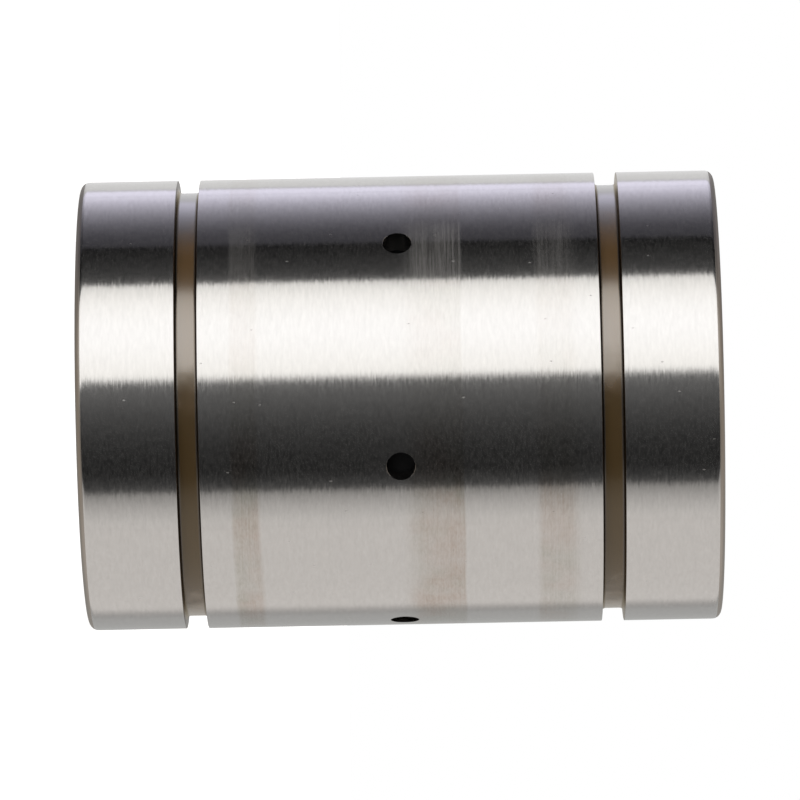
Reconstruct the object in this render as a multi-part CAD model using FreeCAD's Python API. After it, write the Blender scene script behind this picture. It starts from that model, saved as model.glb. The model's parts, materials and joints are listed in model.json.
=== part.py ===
import FreeCAD, Part
import math
import os

from FreeCAD import Vector

# Closed linear ball bearing for a round shaft, standing on its lower end face.
# The bearing's axis is Z, the lower end face lies at z = 0, and sizes are in millimetres and degrees.

# Shaft, balls and circuits
shaft_diameter = 20.0
ball_diameter = 3.175
ball_gap = 0.06  # least room between two balls
circuit_count = 6
turn_ball_count = 3  # balls that fill each half turn
turn_tilt = 9.0  # lean of a half turn away from the shaft

# Outer sleeve
sleeve_length = 45.0
sleeve_wall = 1.7  # from the relieved bore to the outside
sleeve_end_round = 0.6
bore_edge_chamfer = 0.3
ring_groove_span = 31.2  # between the outer edges of the two housing ring grooves
ring_groove_width = 1.6
ring_groove_depth = 0.9
lube_hole_diameter = 2.0

# Raised lands in the sleeve's bore, which the loaded balls run on
land_clearance = 0.025
land_width = 3.6
land_lead_in = 1.2  # taper at each end of a land
land_end_inset = 1.2  # from the end of the loaded row to the end of its land
land_root = 0.4  # depth to which a land grows out of the sleeve's wall
relief_depth = 1.1  # from the lands to the relieved bore

# Ball cage
cage_shaft_gap = 0.2
cage_sleeve_gap = 0.15
cage_land_gap = 0.2
cage_end_wall = 0.8
cage_edge_chamfer = 0.3
track_clearance = 0.1
return_clearance = 0.2  # from the returning balls to the relieved bore

# Snap rings that hold the cage in the sleeve
snap_ring_thickness = 1.0
snap_ring_width = 1.85
snap_ring_opening = 28.0  # angle left open between the ring's ends
snap_ring_play = 0.05
snap_groove_depth = 0.6
cage_ring_gap = 0.05

# Lip seals
seal_recess = 0.4  # below the sleeve's end face
seal_thickness = 2.0
seal_seat_width = 1.85  # flat rim that is pressed into the sleeve
seal_sleeve_gap = 0.05
seal_ring_gap = 0.1
seal_lip_setback = 0.6  # from the seal's outer face to the lip
seal_lip_length = 0.4
seal_heel_width = 1.4  # how far the lip widens towards the cage

# Radii that follow from the sizes above
shaft_radius = shaft_diameter / 2
ball_radius = ball_diameter / 2
land_radius = shaft_radius + ball_diameter + land_clearance
relief_radius = land_radius + relief_depth
sleeve_radius = relief_radius + sleeve_wall
ring_groove_floor_radius = sleeve_radius - ring_groove_depth
load_radius = shaft_radius + ball_radius
return_radius = relief_radius - return_clearance - ball_radius
cage_inner_radius = shaft_radius + cage_shaft_gap
cage_outer_radius = relief_radius - cage_sleeve_gap
track_radius = ball_radius + track_clearance
snap_groove_radius = relief_radius + snap_groove_depth
snap_ring_outer_radius = snap_groove_radius - snap_ring_play
snap_ring_inner_radius = snap_ring_outer_radius - snap_ring_width
seal_outer_radius = relief_radius - seal_sleeve_gap

# Heights of the stack at the lower end: seal, snap ring, cage
seal_low = seal_recess
seal_high = seal_low + seal_thickness
snap_ring_low = seal_high + seal_ring_gap
snap_ring_high = snap_ring_low + snap_ring_thickness
cage_low = snap_ring_high + cage_ring_gap
cage_high = sleeve_length - cage_low
middle_height = sleeve_length / 2

# A circuit: two straight rows, a chord apart, joined by two half turns
least_pitch = ball_diameter + ball_gap
turn_step = 180.0 / turn_ball_count
turn_radius = least_pitch / (2 * math.sin(math.radians(turn_step / 2)))
row_chord = 2 * turn_radius
row_cosine = (load_radius**2 + return_radius**2 - row_chord**2) / (2 * load_radius * return_radius)
row_angle = math.degrees(math.acos(row_cosine))
turn_rise = turn_radius * math.cos(math.radians(turn_tilt))
row_low = cage_low + cage_end_wall + track_radius + turn_rise
row_high = sleeve_length - row_low
row_length = row_high - row_low
row_ball_count = int(row_length / least_pitch)
ball_pitch = row_length / row_ball_count

# Each circuit is centred on its lubrication hole
circuit_angle = 360.0 / circuit_count
seam_angle = circuit_angle / 8  # where the sleeve's turned faces close, clear of the holes
load_angle = -row_angle / 2
return_angle = row_angle / 2
land_angle = math.degrees(land_width / land_radius)

origin = Vector(0, 0, 0)
up = Vector(0, 0, 1)
edge_tolerance = 1e-4  # how closely an edge has to lie to where it is looked for


def polar(radius, angle, height=0.0):
    """Return the point at a radius, an angle about the axis and a height."""
    turned = math.radians(angle)
    return Vector(radius * math.cos(turned), radius * math.sin(turned), height)


def tube(inner_radius, outer_radius, low, high):
    """Return a round tube about the axis."""
    outside = Part.makeCylinder(outer_radius, high - low, Vector(0, 0, low))
    inside = Part.makeCylinder(inner_radius, high - low, Vector(0, 0, low))
    return outside.cut(inside)


def turned_profile(outline, sweep=360.0, middle_angle=0.0):
    """Return the solid that a closed outline of (radius, height) corners sweeps about the axis."""
    corners = [Vector(radius, 0, height) for radius, height in outline]
    face = Part.Face(Part.makePolygon(corners + corners[:1]))
    solid = face.revolve(origin, up, sweep)
    return solid.rotated(origin, up, middle_angle - sweep / 2)


def turned_over(shape):
    """Return a copy of a piece of the lower end, turned over to the upper end."""
    return shape.rotated(Vector(0, 0, middle_height), Vector(0, 1, 0), 180)


def around(shape):
    """Return one copy of a shape for each circuit."""
    return [shape.rotated(origin, up, number * circuit_angle) for number in range(circuit_count)]


def end_edges(shape, radius, low, high):
    """Return the round edges of a tube with one radius at its two end faces."""
    edges = []
    for edge in shape.Edges:
        if isinstance(edge.Curve, Part.Circle):
            off_end = min(abs(edge.Curve.Center.z - low), abs(edge.Curve.Center.z - high))
            off_radius = abs(edge.Curve.Radius - radius)
            if max(off_end, off_radius) < edge_tolerance:
                edges.append(edge)
    return edges


# Directions of one circuit: across from the returning row to the loaded row, and outwards from the shaft
load_point = polar(load_radius, load_angle)
return_point = polar(return_radius, return_angle)
turn_centre = (load_point + return_point) * 0.5
across = (load_point - return_point).normalize()
outwards = up.cross(across)


def turn_middle(end):
    """Return the centre of a half turn. The upper turn has end 1 and the lower turn has end -1."""
    return turn_centre + up * (row_high if end > 0 else row_low)


def turn_along(end):
    """Return the direction in which a half turn reaches past its rows, leaning outwards."""
    lean = math.radians(turn_tilt)
    return up * (end * math.cos(lean)) + outwards * math.sin(lean)


def turn_outwards(end):
    """Return the direction in which the track of a half turn is open."""
    lean = math.radians(turn_tilt)
    return outwards * math.cos(lean) - up * (end * math.sin(lean))


def turn_axis(end):
    """Return the axis about which balls pass a half turn from the loaded row to the returning row."""
    return across.cross(turn_along(end))


def track_section(point, outer):
    """Return the section of a ball track: round under the ball, open on the outside."""
    reach = outer * (sleeve_radius - load_radius)
    side = across * track_radius
    first = point + side
    last = point - side
    floor = Part.Arc(first, point - outer * track_radius, last).toShape()
    walls = Part.makePolygon([last, last + reach, first + reach, first])
    return Part.Face(Part.Wire([floor] + walls.Edges))


def row_track(point):
    """Return the straight track of one row, long enough to run into both tilted turns."""
    overrun = track_radius * math.sin(math.radians(turn_tilt)) + track_clearance
    start = point + up * (row_low - overrun)
    return track_section(start, outwards).extrude(up * (row_length + 2 * overrun))


def turn_track(end):
    """Return the half round track that joins the two rows at one end."""
    centre = turn_middle(end)
    section = track_section(centre + across * turn_radius, turn_outwards(end))
    return section.revolve(centre, turn_axis(end), 180)


def outer_sleeve():
    """Return the sleeve with its lands, grooves, lubrication holes and finished ends."""
    sleeve = tube(relief_radius, sleeve_radius, 0, sleeve_length).rotated(origin, up, seam_angle)
    sleeve = sleeve.makeFillet(sleeve_end_round, end_edges(sleeve, sleeve_radius, 0, sleeve_length))
    sleeve = sleeve.makeChamfer(bore_edge_chamfer, end_edges(sleeve, relief_radius, 0, sleeve_length))

    land_low = row_low + land_end_inset
    land_high = row_high - land_end_inset
    land_outline = [
        (relief_radius + land_root, land_low),
        (relief_radius + land_root, land_high),
        (relief_radius, land_high),
        (land_radius, land_high - land_lead_in),
        (land_radius, land_low + land_lead_in),
        (relief_radius, land_low),
    ]
    sleeve = sleeve.fuse(around(turned_profile(land_outline, land_angle, load_angle)))

    groove_low = (sleeve_length - ring_groove_span) / 2
    groove_outside = sleeve_radius + ring_groove_depth
    groove = tube(ring_groove_floor_radius, groove_outside, groove_low, groove_low + ring_groove_width)
    snap_groove = tube(shaft_radius, snap_groove_radius, snap_ring_low - snap_ring_play, cage_low)
    lube_start = Vector(load_radius, 0, middle_height)
    lube_hole = Part.makeCylinder(lube_hole_diameter / 2, sleeve_radius, lube_start, Vector(1, 0, 0))
    cuts = [groove, turned_over(groove), snap_groove, turned_over(snap_groove)]
    return sleeve.cut(cuts + around(lube_hole))


def ball_cage():
    """Return the cage with a closed track for each circuit and a clear way past the lands."""
    cage = tube(cage_inner_radius, cage_outer_radius, cage_low, cage_high)
    for radius in (cage_inner_radius, cage_outer_radius):
        cage = cage.makeChamfer(cage_edge_chamfer, end_edges(cage, radius, cage_low, cage_high))
    way_floor = land_radius - cage_land_gap
    way_outline = [
        (way_floor, cage_low),
        (sleeve_radius, cage_low),
        (sleeve_radius, cage_high),
        (way_floor, cage_high),
    ]
    way_angle = land_angle + 2 * math.degrees(cage_land_gap / land_radius)
    way = turned_profile(way_outline, way_angle, load_angle)
    track = [row_track(load_point), row_track(return_point), turn_track(1), turn_track(-1)]
    cuts = []
    for cut in track + [way]:
        cuts += around(cut)
    return cage.cut(cuts)


def snap_ring():
    """Return the lower snap ring, a flat spring ring that is open on one side."""
    outline = [
        (snap_ring_inner_radius, snap_ring_low),
        (snap_ring_outer_radius, snap_ring_low),
        (snap_ring_outer_radius, snap_ring_high),
        (snap_ring_inner_radius, snap_ring_high),
    ]
    return turned_profile(outline, 360.0 - snap_ring_opening, 180.0)


def lip_seal():
    """Return the lower seal: a flat rim in the sleeve and a lip that meets the shaft."""
    lip_low = seal_low + seal_lip_setback
    outline = [
        (seal_outer_radius, seal_low),
        (seal_outer_radius, seal_high),
        (shaft_radius + seal_heel_width, seal_high),
        (shaft_radius, lip_low + seal_lip_length),
        (shaft_radius, lip_low),
        (seal_outer_radius - seal_seat_width, seal_low),
    ]
    return turned_profile(outline)


def balls(centres):
    """Return a group of separate balls."""
    return Part.makeCompound([Part.makeSphere(ball_radius, centre) for centre in centres])


def row_balls(point):
    """Return the balls of one straight row, half a pitch clear of the turns at rest."""
    return balls([point + up * (row_low + (number + 0.5) * ball_pitch) for number in range(row_ball_count)])


def turn_balls(end):
    """Return the balls of one half turn, half a step clear of the rows at rest."""
    centres = []
    for number in range(turn_ball_count):
        angle = math.radians((number + 0.5) * turn_step)
        spoke = across * math.cos(angle) + turn_along(end) * math.sin(angle)
        centres.append(turn_middle(end) + spoke * turn_radius)
    return balls(centres)


def bearing_pieces():
    """Return every piece of the bearing by name."""
    pieces = {
        "outer_sleeve": outer_sleeve(),
        "ball_cage": ball_cage(),
        "lower_snap_ring": snap_ring(),
        "lower_seal": lip_seal(),
    }
    pieces["upper_snap_ring"] = turned_over(pieces["lower_snap_ring"])
    pieces["upper_seal"] = turned_over(pieces["lower_seal"])
    groups = {
        "load_balls": row_balls(load_point),
        "return_balls": row_balls(return_point),
        "upper_turn_balls": turn_balls(1),
        "lower_turn_balls": turn_balls(-1),
    }
    for name, group in groups.items():
        for number, copy in enumerate(around(group), start=1):
            pieces[f"{name}_{number}"] = copy
    return pieces


os.makedirs("parts", exist_ok=True)
for piece_name, piece in bearing_pieces().items():
    piece.exportStep(f"parts/{piece_name}.step")
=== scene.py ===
"""Looks of a closed linear ball bearing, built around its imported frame.

The bearing stands on its lower end face with its axis along Z. Lengths are in metres, and angles are in
degrees unless a name says otherwise.
"""

import json
import logging
import math
from contextlib import contextmanager
from dataclasses import dataclass
from enum import Enum
from typing import Any, Callable, Iterator

import bpy
from mathutils import Matrix, Vector

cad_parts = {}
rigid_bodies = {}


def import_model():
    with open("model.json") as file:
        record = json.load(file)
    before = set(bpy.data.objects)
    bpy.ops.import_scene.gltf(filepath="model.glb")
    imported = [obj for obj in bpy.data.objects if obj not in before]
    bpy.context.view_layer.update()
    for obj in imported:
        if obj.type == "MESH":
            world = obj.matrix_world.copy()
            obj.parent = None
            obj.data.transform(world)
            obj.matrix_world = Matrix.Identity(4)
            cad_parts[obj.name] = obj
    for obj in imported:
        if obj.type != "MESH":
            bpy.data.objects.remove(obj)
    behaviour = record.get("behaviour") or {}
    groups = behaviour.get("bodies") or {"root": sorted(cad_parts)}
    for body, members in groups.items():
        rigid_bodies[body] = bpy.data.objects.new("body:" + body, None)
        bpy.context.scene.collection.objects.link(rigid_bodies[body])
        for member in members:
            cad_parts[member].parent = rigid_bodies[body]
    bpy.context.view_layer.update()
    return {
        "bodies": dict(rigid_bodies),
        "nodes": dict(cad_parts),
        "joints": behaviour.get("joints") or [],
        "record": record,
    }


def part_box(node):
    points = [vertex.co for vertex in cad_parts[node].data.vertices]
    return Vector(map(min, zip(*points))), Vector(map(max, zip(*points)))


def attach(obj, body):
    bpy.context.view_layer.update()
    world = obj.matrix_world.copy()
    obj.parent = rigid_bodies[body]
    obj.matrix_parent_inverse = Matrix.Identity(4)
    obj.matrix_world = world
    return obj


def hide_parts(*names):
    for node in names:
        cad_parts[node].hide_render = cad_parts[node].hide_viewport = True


MM = 0.001
FRONT = -76.6  # angle about the axis at which the camera stands
PLACE_TOLERANCE = 0.002 * MM  # how closely an edge has to lie to where it is looked for
SQUARELY = 0.9  # share of a face's normal that lies along a direction when the face looks that way
SHARP_FROM = 32.0  # edges sharper than this angle stay crisp
ABOUT_AXIS = {"center": (0, 0, 0), "axis": (0, 0, 1)}
SMOOTH = {"interpolation_type": "SMOOTHSTEP"}  # for a change of range that starts and ends gently
NOISE = (0.3, 0.7)  # range in which nearly all values of a noise lie
NOISE_PAIR = (0.6, 1.4)  # the same for two noises added up
WHITE = (1.0, 1.0, 1.0, 1.0)

Span = tuple[float, float]
Outline = list[tuple[float, float]]
Colour = tuple[float, float, float, float]
Piece = bpy.types.Object
Material = bpy.types.Material
Tree = bpy.types.NodeTree
Node = bpy.types.Node
Socket = bpy.types.NodeSocket
Source = Node | Socket | Colour | float  # what an input of a node can take
Inputs = dict[str | int, Any] | tuple[Any, ...]

log = logging.getLogger("bearing")


class Slot(Enum):
    """Names of the record's material slots."""

    GROUND_STEEL = "ground_steel"
    BALL_STEEL = "ball_steel"
    SPRING_STEEL = "spring_steel"
    CAGE_PLASTIC = "cage_plastic"
    SEAL_RUBBER = "seal_rubber"


class Operation(Enum):
    """Ways in which one solid changes another."""

    CUT_AWAY = "DIFFERENCE"
    JOIN_ON = "UNION"


class SleeveFace(Enum):
    """Kinds of faces of the sleeve, each with the place of its finish among the sleeve's materials."""

    GROUND = 0
    OXIDE = 1
    TURNED = 2
    TUMBLED = 3
    DRILLED = 4


# Numbers, colours and shader nodes


def about(value: float, spread: float) -> Span:
    """Returns the limits of a spread about a value, the lower one first."""
    return value - spread, value + spread


def sines(angles: Span) -> Span:
    """Returns the sines of two angles."""
    return math.sin(math.radians(angles[0])), math.sin(math.radians(angles[1]))


def polar(radius: float, angle: float, height: float) -> Vector:
    """Returns the point at a radius, an angle about the axis and a height."""
    swing = math.radians(angle)
    return Vector((radius * math.cos(swing), radius * math.sin(swing), height))


def linear(colour: str) -> Colour:
    """Turns an sRGB hex value to linear light.

    Args:
        colour: A value such as "#C9C7C4".

    Returns:
        Red, green, blue and an alpha of 1.
    """
    parts = []
    for start in (1, 3, 5):
        value = int(colour[start:start + 2], 16) / 255
        parts.append(value / 12.92 if value <= 0.04045 else ((value + 0.055) / 1.055) ** 2.4)
    return (parts[0], parts[1], parts[2], 1.0)


def add_node(tree: Tree, kind: str, inputs: Inputs = (), **settings: Any) -> Node:
    """Adds a node with its settings and links.

    Args:
        tree: The tree that gets the node.
        kind: The node's type without its first words, such as "Math" for ShaderNodeMath.
        inputs: What goes into the node, in the order of its sockets or by their names. Each is a value, an
            output socket, or a node, which stands for its first output in use.
        settings: Properties of the node.

    Returns:
        The new node.
    """
    node = tree.nodes.new("ShaderNode" + kind)
    for name, value in settings.items():
        setattr(node, name, value)
    by_socket = inputs if isinstance(inputs, dict) else dict(enumerate(inputs))
    for socket, value in by_socket.items():
        if isinstance(value, Node):
            value = next(output for output in value.outputs if output.enabled)
        if isinstance(value, Socket):
            tree.links.new(value, node.inputs[socket])
        else:
            node.inputs[socket].default_value = value
    return node


def new_material(name: str) -> tuple[Material, Tree]:
    """Makes a material that has no nodes yet.

    Args:
        name: What the real material is.

    Returns:
        The material and its node tree.
    """
    material = bpy.data.materials.new(name)
    material.use_nodes = True
    material.node_tree.nodes.clear()
    return material, material.node_tree


def facing(tree: Tree, place: Socket, radius: float, angle: float) -> Node:
    """Measures how squarely a point of a round surface faces an angle about the axis.

    Args:
        tree: The material's nodes.
        place: Object coordinates.
        radius: Radius of the surface.
        angle: The angle about the axis.

    Returns:
        1 where the surface faces that way, and -1 on the opposite side.
    """
    towards = polar(1 / radius, angle, 0.0)
    return add_node(tree, "VectorMath", (place, towards), operation="DOT_PRODUCT")


# Modelling steps


def pick(piece: Piece) -> None:
    """Selects one piece alone and makes it the active one.

    Args:
        piece: A piece in object mode.
    """
    bpy.ops.object.select_all(action="DESELECT")
    piece.select_set(True)
    bpy.context.view_layer.objects.active = piece


@contextmanager
def editing(piece: Piece) -> Iterator[None]:
    """Opens a piece in edit mode and closes it again.

    Args:
        piece: The piece to edit.

    Returns:
        A context in which the piece is open.
    """
    pick(piece)
    bpy.ops.object.mode_set(mode="EDIT")
    yield
    bpy.ops.object.mode_set(mode="OBJECT")


def merge_doubles() -> None:
    """Merges the points that lie in one place, in the mesh that is open."""
    bpy.ops.mesh.select_all(action="SELECT")
    bpy.ops.mesh.remove_doubles(threshold=PLACE_TOLERANCE)


def face_outwards() -> None:
    """Turns all faces outwards, in the mesh that is open."""
    bpy.ops.mesh.select_all(action="SELECT")
    bpy.ops.mesh.normals_make_consistent(inside=False)


def traced(name: str, outline: Outline, angle: float = 0.0) -> Piece:
    """Traces a closed outline by extruding one vertex from corner to corner.

    Args:
        name: The new object's name.
        outline: Corners as (radius, height).
        angle: Where about the axis the outline stands.

    Returns:
        An object at the origin that holds the outline.
    """
    bpy.ops.object.select_all(action="DESELECT")
    bpy.ops.mesh.primitive_plane_add(size=MM, location=(0, 0, 0))
    piece = bpy.context.object
    piece.name = name
    piece.data.name = name
    corners = [polar(radius, angle, height) for radius, height in outline]
    bpy.context.tool_settings.mesh_select_mode = (True, False, False)
    with editing(piece):
        bpy.ops.mesh.merge(type="CENTER")
        bpy.ops.transform.translate(value=corners[0])
        for start, end in zip(corners, corners[1:] + corners[:1]):
            bpy.ops.mesh.extrude_region_move(TRANSFORM_OT_translate={"value": end - start})
        merge_doubles()
    return piece


def turned(name: str, outline: Outline, steps: int) -> Piece:
    """Turns a closed outline into a solid ring about the axis.

    Args:
        name: The new piece's name.
        outline: Corners as (radius, height).
        steps: Faces around the ring.

    Returns:
        The closed ring.
    """
    piece = traced(name, outline)
    with editing(piece):
        bpy.ops.mesh.select_all(action="SELECT")
        bpy.ops.mesh.spin(steps=steps, angle=math.tau, **ABOUT_AXIS)
        merge_doubles()
        face_outwards()
    return piece


def repeat_around(piece: Piece, count: int) -> None:
    """Repeats a piece's mesh evenly about the axis.

    Args:
        piece: The piece, which keeps its first mesh and gets the turned copies.
        count: How many there are in the end.
    """
    with editing(piece):
        bpy.ops.mesh.select_all(action="SELECT")
        sweep = math.tau * (count - 1) / count
        bpy.ops.mesh.spin(steps=count - 1, dupli=True, angle=sweep, **ABOUT_AXIS)


def select_nothing(piece: Piece) -> None:
    """Clears the selection inside a piece.

    Args:
        piece: A piece in object mode.
    """
    mesh = piece.data
    for elements in (mesh.vertices, mesh.edges, mesh.polygons):
        elements.foreach_set("select", [False] * len(elements))


def select_edges(piece: Piece, wanted: Callable[[Vector, Vector], bool]) -> None:
    """Selects the edges of a piece whose two ends pass a test, and nothing else.

    Args:
        piece: A piece in object mode.
        wanted: Says whether an edge between two points is selected.
    """
    select_nothing(piece)
    bpy.context.tool_settings.mesh_select_mode = (False, True, False)
    points = [vertex.co for vertex in piece.data.vertices]
    for edge in piece.data.edges:
        first, last = edge.vertices
        edge.select = wanted(points[first], points[last])


def select_faces(piece: Piece, wanted: Callable[[Vector], bool]) -> None:
    """Selects the faces of a piece whose normal passes a test, and nothing else.

    Args:
        piece: A piece in object mode.
        wanted: Says whether a face with a normal is selected.
    """
    select_nothing(piece)
    bpy.context.tool_settings.mesh_select_mode = (False, False, True)
    for face in piece.data.polygons:
        face.select = wanted(face.normal)


def round_rings(piece: Piece, rings: Outline, radius: float, segments: int) -> None:
    """Rounds ring-shaped edges about the axis.

    Args:
        piece: The piece that has the edges.
        rings: Each edge as (radius, height).
        radius: Radius of the rounding.
        segments: Faces across the rounding.
    """

    def near(point: Vector, across: float, height: float) -> bool:
        """Says whether a point lies on a ring."""
        return max(abs(point.xy.length - across), abs(point.z - height)) < PLACE_TOLERANCE

    def on_a_ring(first: Vector, last: Vector) -> bool:
        """Says whether an edge lies on one of the rings."""
        return any(near(first, *ring) and near(last, *ring) for ring in rings)

    select_edges(piece, on_a_ring)
    with editing(piece):
        bpy.ops.mesh.bevel(offset=radius, offset_type="OFFSET", segments=segments, affect="EDGES")


def combine(piece: Piece, tool: Piece, operation: Operation) -> None:
    """Cuts a tool's form out of a piece or joins it on, and removes the tool.

    Args:
        piece: The piece that changes.
        tool: A closed solid.
        operation: What the tool does to the piece.
    """
    pick(piece)
    bpy.ops.object.modifier_add(type="BOOLEAN")
    change = piece.modifiers[-1]
    change.operation = operation.value
    change.solver = "EXACT"
    change.object = tool
    bpy.ops.object.modifier_apply(modifier=change.name)
    bpy.data.objects.remove(tool, do_unlink=True)


def smooth(piece: Piece) -> None:
    """Shades a piece smoothly, with sharp edges kept crisp and broad faces kept true.

    Args:
        piece: A piece in object mode.
    """
    pick(piece)
    bpy.ops.object.shade_smooth_by_angle(angle=math.radians(SHARP_FROM))
    bpy.ops.object.modifier_add(type="WEIGHTED_NORMAL")
    evened = piece.modifiers[-1]
    evened.keep_sharp = True
    bpy.ops.object.modifier_apply(modifier=evened.name)


def turned_over(piece: Piece, name: str, middle: float) -> Piece:
    """Copies a piece of the lower end to the upper end.

    Args:
        piece: A piece of the lower end.
        name: The copy's name.
        middle: Height of the bearing's mid-length.

    Returns:
        The copy, turned over about mid-length, with its own mesh.
    """
    pick(piece)
    bpy.ops.object.duplicate(linked=False)
    copy = bpy.context.object
    copy.name = name
    copy.data.name = name
    copy.matrix_world = Matrix.Translation((0, 0, 2 * middle)) @ Matrix.Rotation(math.pi, 4, "Y")
    bpy.ops.object.transform_apply(location=True, rotation=True, scale=True)
    return copy


# Finishes


@dataclass(frozen=True)
class FilmBand:
    """A band round the sleeve where handling has left a thin brown film."""

    low: float
    high: float
    low_edge: float  # half the height over which the film thins out at its lower edge
    high_edge: float  # the same at its upper edge
    strength: float
    rubbed: float  # how far the film has been rubbed off where it is rubbed at all


@dataclass(frozen=True)
class GroundSteel:
    """Hardened bearing steel, ground between wheels.

    It gives the eye a clear mirror whose borders fray into a fine mottle drawn out round the sleeve, with a
    few patchy brown bands, one patch that is rubbed dull and tiny nicks that catch the light.
    """

    radius: float
    colour: str = "#C9C7C5"
    film_colour: str = "#B6ABA2"
    film_olive: str = "#B1AEA5"
    speck_colour: str = "#9A9086"
    roughness: float = 0.135
    anisotropy: float = 0.6
    grain_turn: float = 0.25  # a quarter turn, so that the gloss spreads along the axis
    grain_depth: float = 0.0012 * MM
    # Grinding marks are some 0.02 mm wide. They are drawn coarser, so that they show.
    mottle_width: float = 0.13 * MM
    mottle_length: float = 0.38 * MM
    mottle_roughness: float = 0.02
    mottle_haze: float = 0.028  # share of the surface that scatters light where the mottle is strongest
    blotch_width: float = 0.25 * MM
    blotch_length: float = 1.0 * MM
    unevenness: float = 0.055  # how much lighter or darker the steel is in its mottle and blotches
    line_width: float = 0.10 * MM
    line_length: float = 6.0 * MM
    fray_width: float = 0.09 * MM
    fray_length: float = 1.0 * MM
    fray: float = 0.039  # how far the streaks of the grinding tip the surface round the axis
    nick_roughness: float = 0.54
    nick_spacing: float = 2.6 * MM
    nick_stretch: float = 2.2  # how much longer a nick is along the axis than round the sleeve
    nick_rim: Span = (0.008, 0.024)  # where a nick ends, as shares of the spacing
    nick_free: float = 0.6  # share of the places that stay without a nick
    film_wave: float = 6.4 * MM  # length of the waves in the edges of the film
    film_waver: float = 0.2 * MM  # how far they reach to each side
    film_angle: float = -30.0  # where about the axis the film is thickest
    film_facing: Span = (-0.4, 0.3)  # how squarely a point faces that way where the film is thin and full
    far_film: float = 0.3  # how much of it there is on the opposite side
    worn_angle: float = -98.0  # where about the axis the film is worn thin
    worn_facing: Span = (0.75, 0.97)  # how squarely a point faces that way where the wear begins and is full
    worn_film: float = 0.25  # how much of the film is left there
    cloud_size: float = 3.2 * MM  # of the thin and thick patches in the film
    cloud_noise: Span = (0.35, 0.65)
    cloud_cover: Span = (0.45, 0.85)  # how well thin and thick patches cover the steel
    streak_noise: Span = (0.7, 1.3)
    streak_cover: Span = (1.35, 0.65)  # how much better or worse the film covers in its streaks
    olive_noise: Span = (0.4, 0.6)
    speck_noise: Span = (0.62, 0.75)
    rubbed_angle: float = -115.0  # where about the axis the film has been rubbed
    rubbed_spread: float = 11.0
    rubbed_fade: Span = (1.3, 0.7)  # where the rubbing ends and is full, as shares of the spread
    rubbed_haze: float = 0.25  # share of the surface that scatters light in the rubbed lines
    stroke_noise: Span = (0.3, 0.8)
    stroke_share: Span = (0.2, 0.75)  # how strong the rubbing is between its lines and in them
    bands: tuple[FilmBand, ...] = (
        FilmBand(10.75 * MM, 12.6 * MM, 0.15 * MM, 0.25 * MM, 0.95, 0.42),
        FilmBand(23.3 * MM, 26.9 * MM, 0.9 * MM, 0.12 * MM, 1.0, 0.9),
        FilmBand(32.1 * MM, 34.6 * MM, 0.3 * MM, 0.7 * MM, 0.85, 0.45),
    )

    def material(self) -> Material:
        """Makes the material of the sleeve's ground outside.

        Returns:
            The material.
        """
        material, tree = new_material("hardened_steel_ground")
        place = add_node(tree, "TexCoord").outputs["Object"]
        mottle = self.drawn_out(tree, place, self.mottle_length, self.mottle_width)
        blotches = self.drawn_out(tree, place, self.blotch_length, self.blotch_width)
        lines = self.drawn_out(tree, place, self.line_length, self.line_width)

        covered_bands = self.banded(tree, place, [band.strength for band in self.bands])
        film = self.worn(tree, place, covered_bands)
        tint = self.tint(tree, place, film, mottle, lines)
        uneven = add_node(tree, "Math", (mottle, blotches), operation="ADD")
        shade = add_node(tree, "MapRange", (uneven, *NOISE_PAIR, *about(1.0, self.unevenness)))
        shaded = add_node(tree, "VectorMath", {0: tint, "Scale": shade}, operation="SCALE")

        grained = add_node(tree, "MapRange", (mottle, *NOISE, *about(self.roughness, self.mottle_roughness)))
        nicked = {"Factor": self.nicks(tree, place), "A": grained, "B": self.nick_roughness}
        roughness = add_node(tree, "Mix", nicked, data_type="FLOAT")

        rubbed_bands = self.banded(tree, place, [band.rubbed for band in self.bands])
        rubbed = self.rubbed(tree, place, rubbed_bands, lines)
        clear = add_node(tree, "MapRange", (mottle, *NOISE, 1.0, 1.0 - self.mottle_haze))
        scattered = add_node(tree, "Math", (rubbed, self.rubbed_haze), operation="MULTIPLY")
        metallic = add_node(tree, "Math", (clear, scattered), operation="SUBTRACT")

        tangent = add_node(tree, "Tangent", direction_type="RADIAL", axis="Z")
        surface = add_node(tree, "BsdfPrincipled", {
            "Base Color": shaded, "Metallic": metallic, "Roughness": roughness,
            "Normal": self.frayed(tree, place, mottle, tangent), "Tangent": tangent,
            "Anisotropic": self.anisotropy, "Anisotropic Rotation": self.grain_turn})
        add_node(tree, "OutputMaterial", {"Surface": surface})
        return material

    def drawn_out(self, tree: Tree, place: Socket, length: float, width: float) -> Node:
        """Draws noise out round the sleeve.

        Args:
            tree: The material's nodes.
            place: Object coordinates.
            length: Size of a grain along the circumference.
            width: Size of a grain along the axis.

        Returns:
            The noise, about 0.5 on average.
        """
        scale = (1 / length, 1 / length, 1 / width)
        stretched = add_node(tree, "Mapping", {"Vector": place, "Scale": scale})
        grain = {"Vector": stretched, "Scale": 1.0, "Detail": 2.0, "Roughness": 0.6}
        return add_node(tree, "TexNoise", grain)

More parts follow.
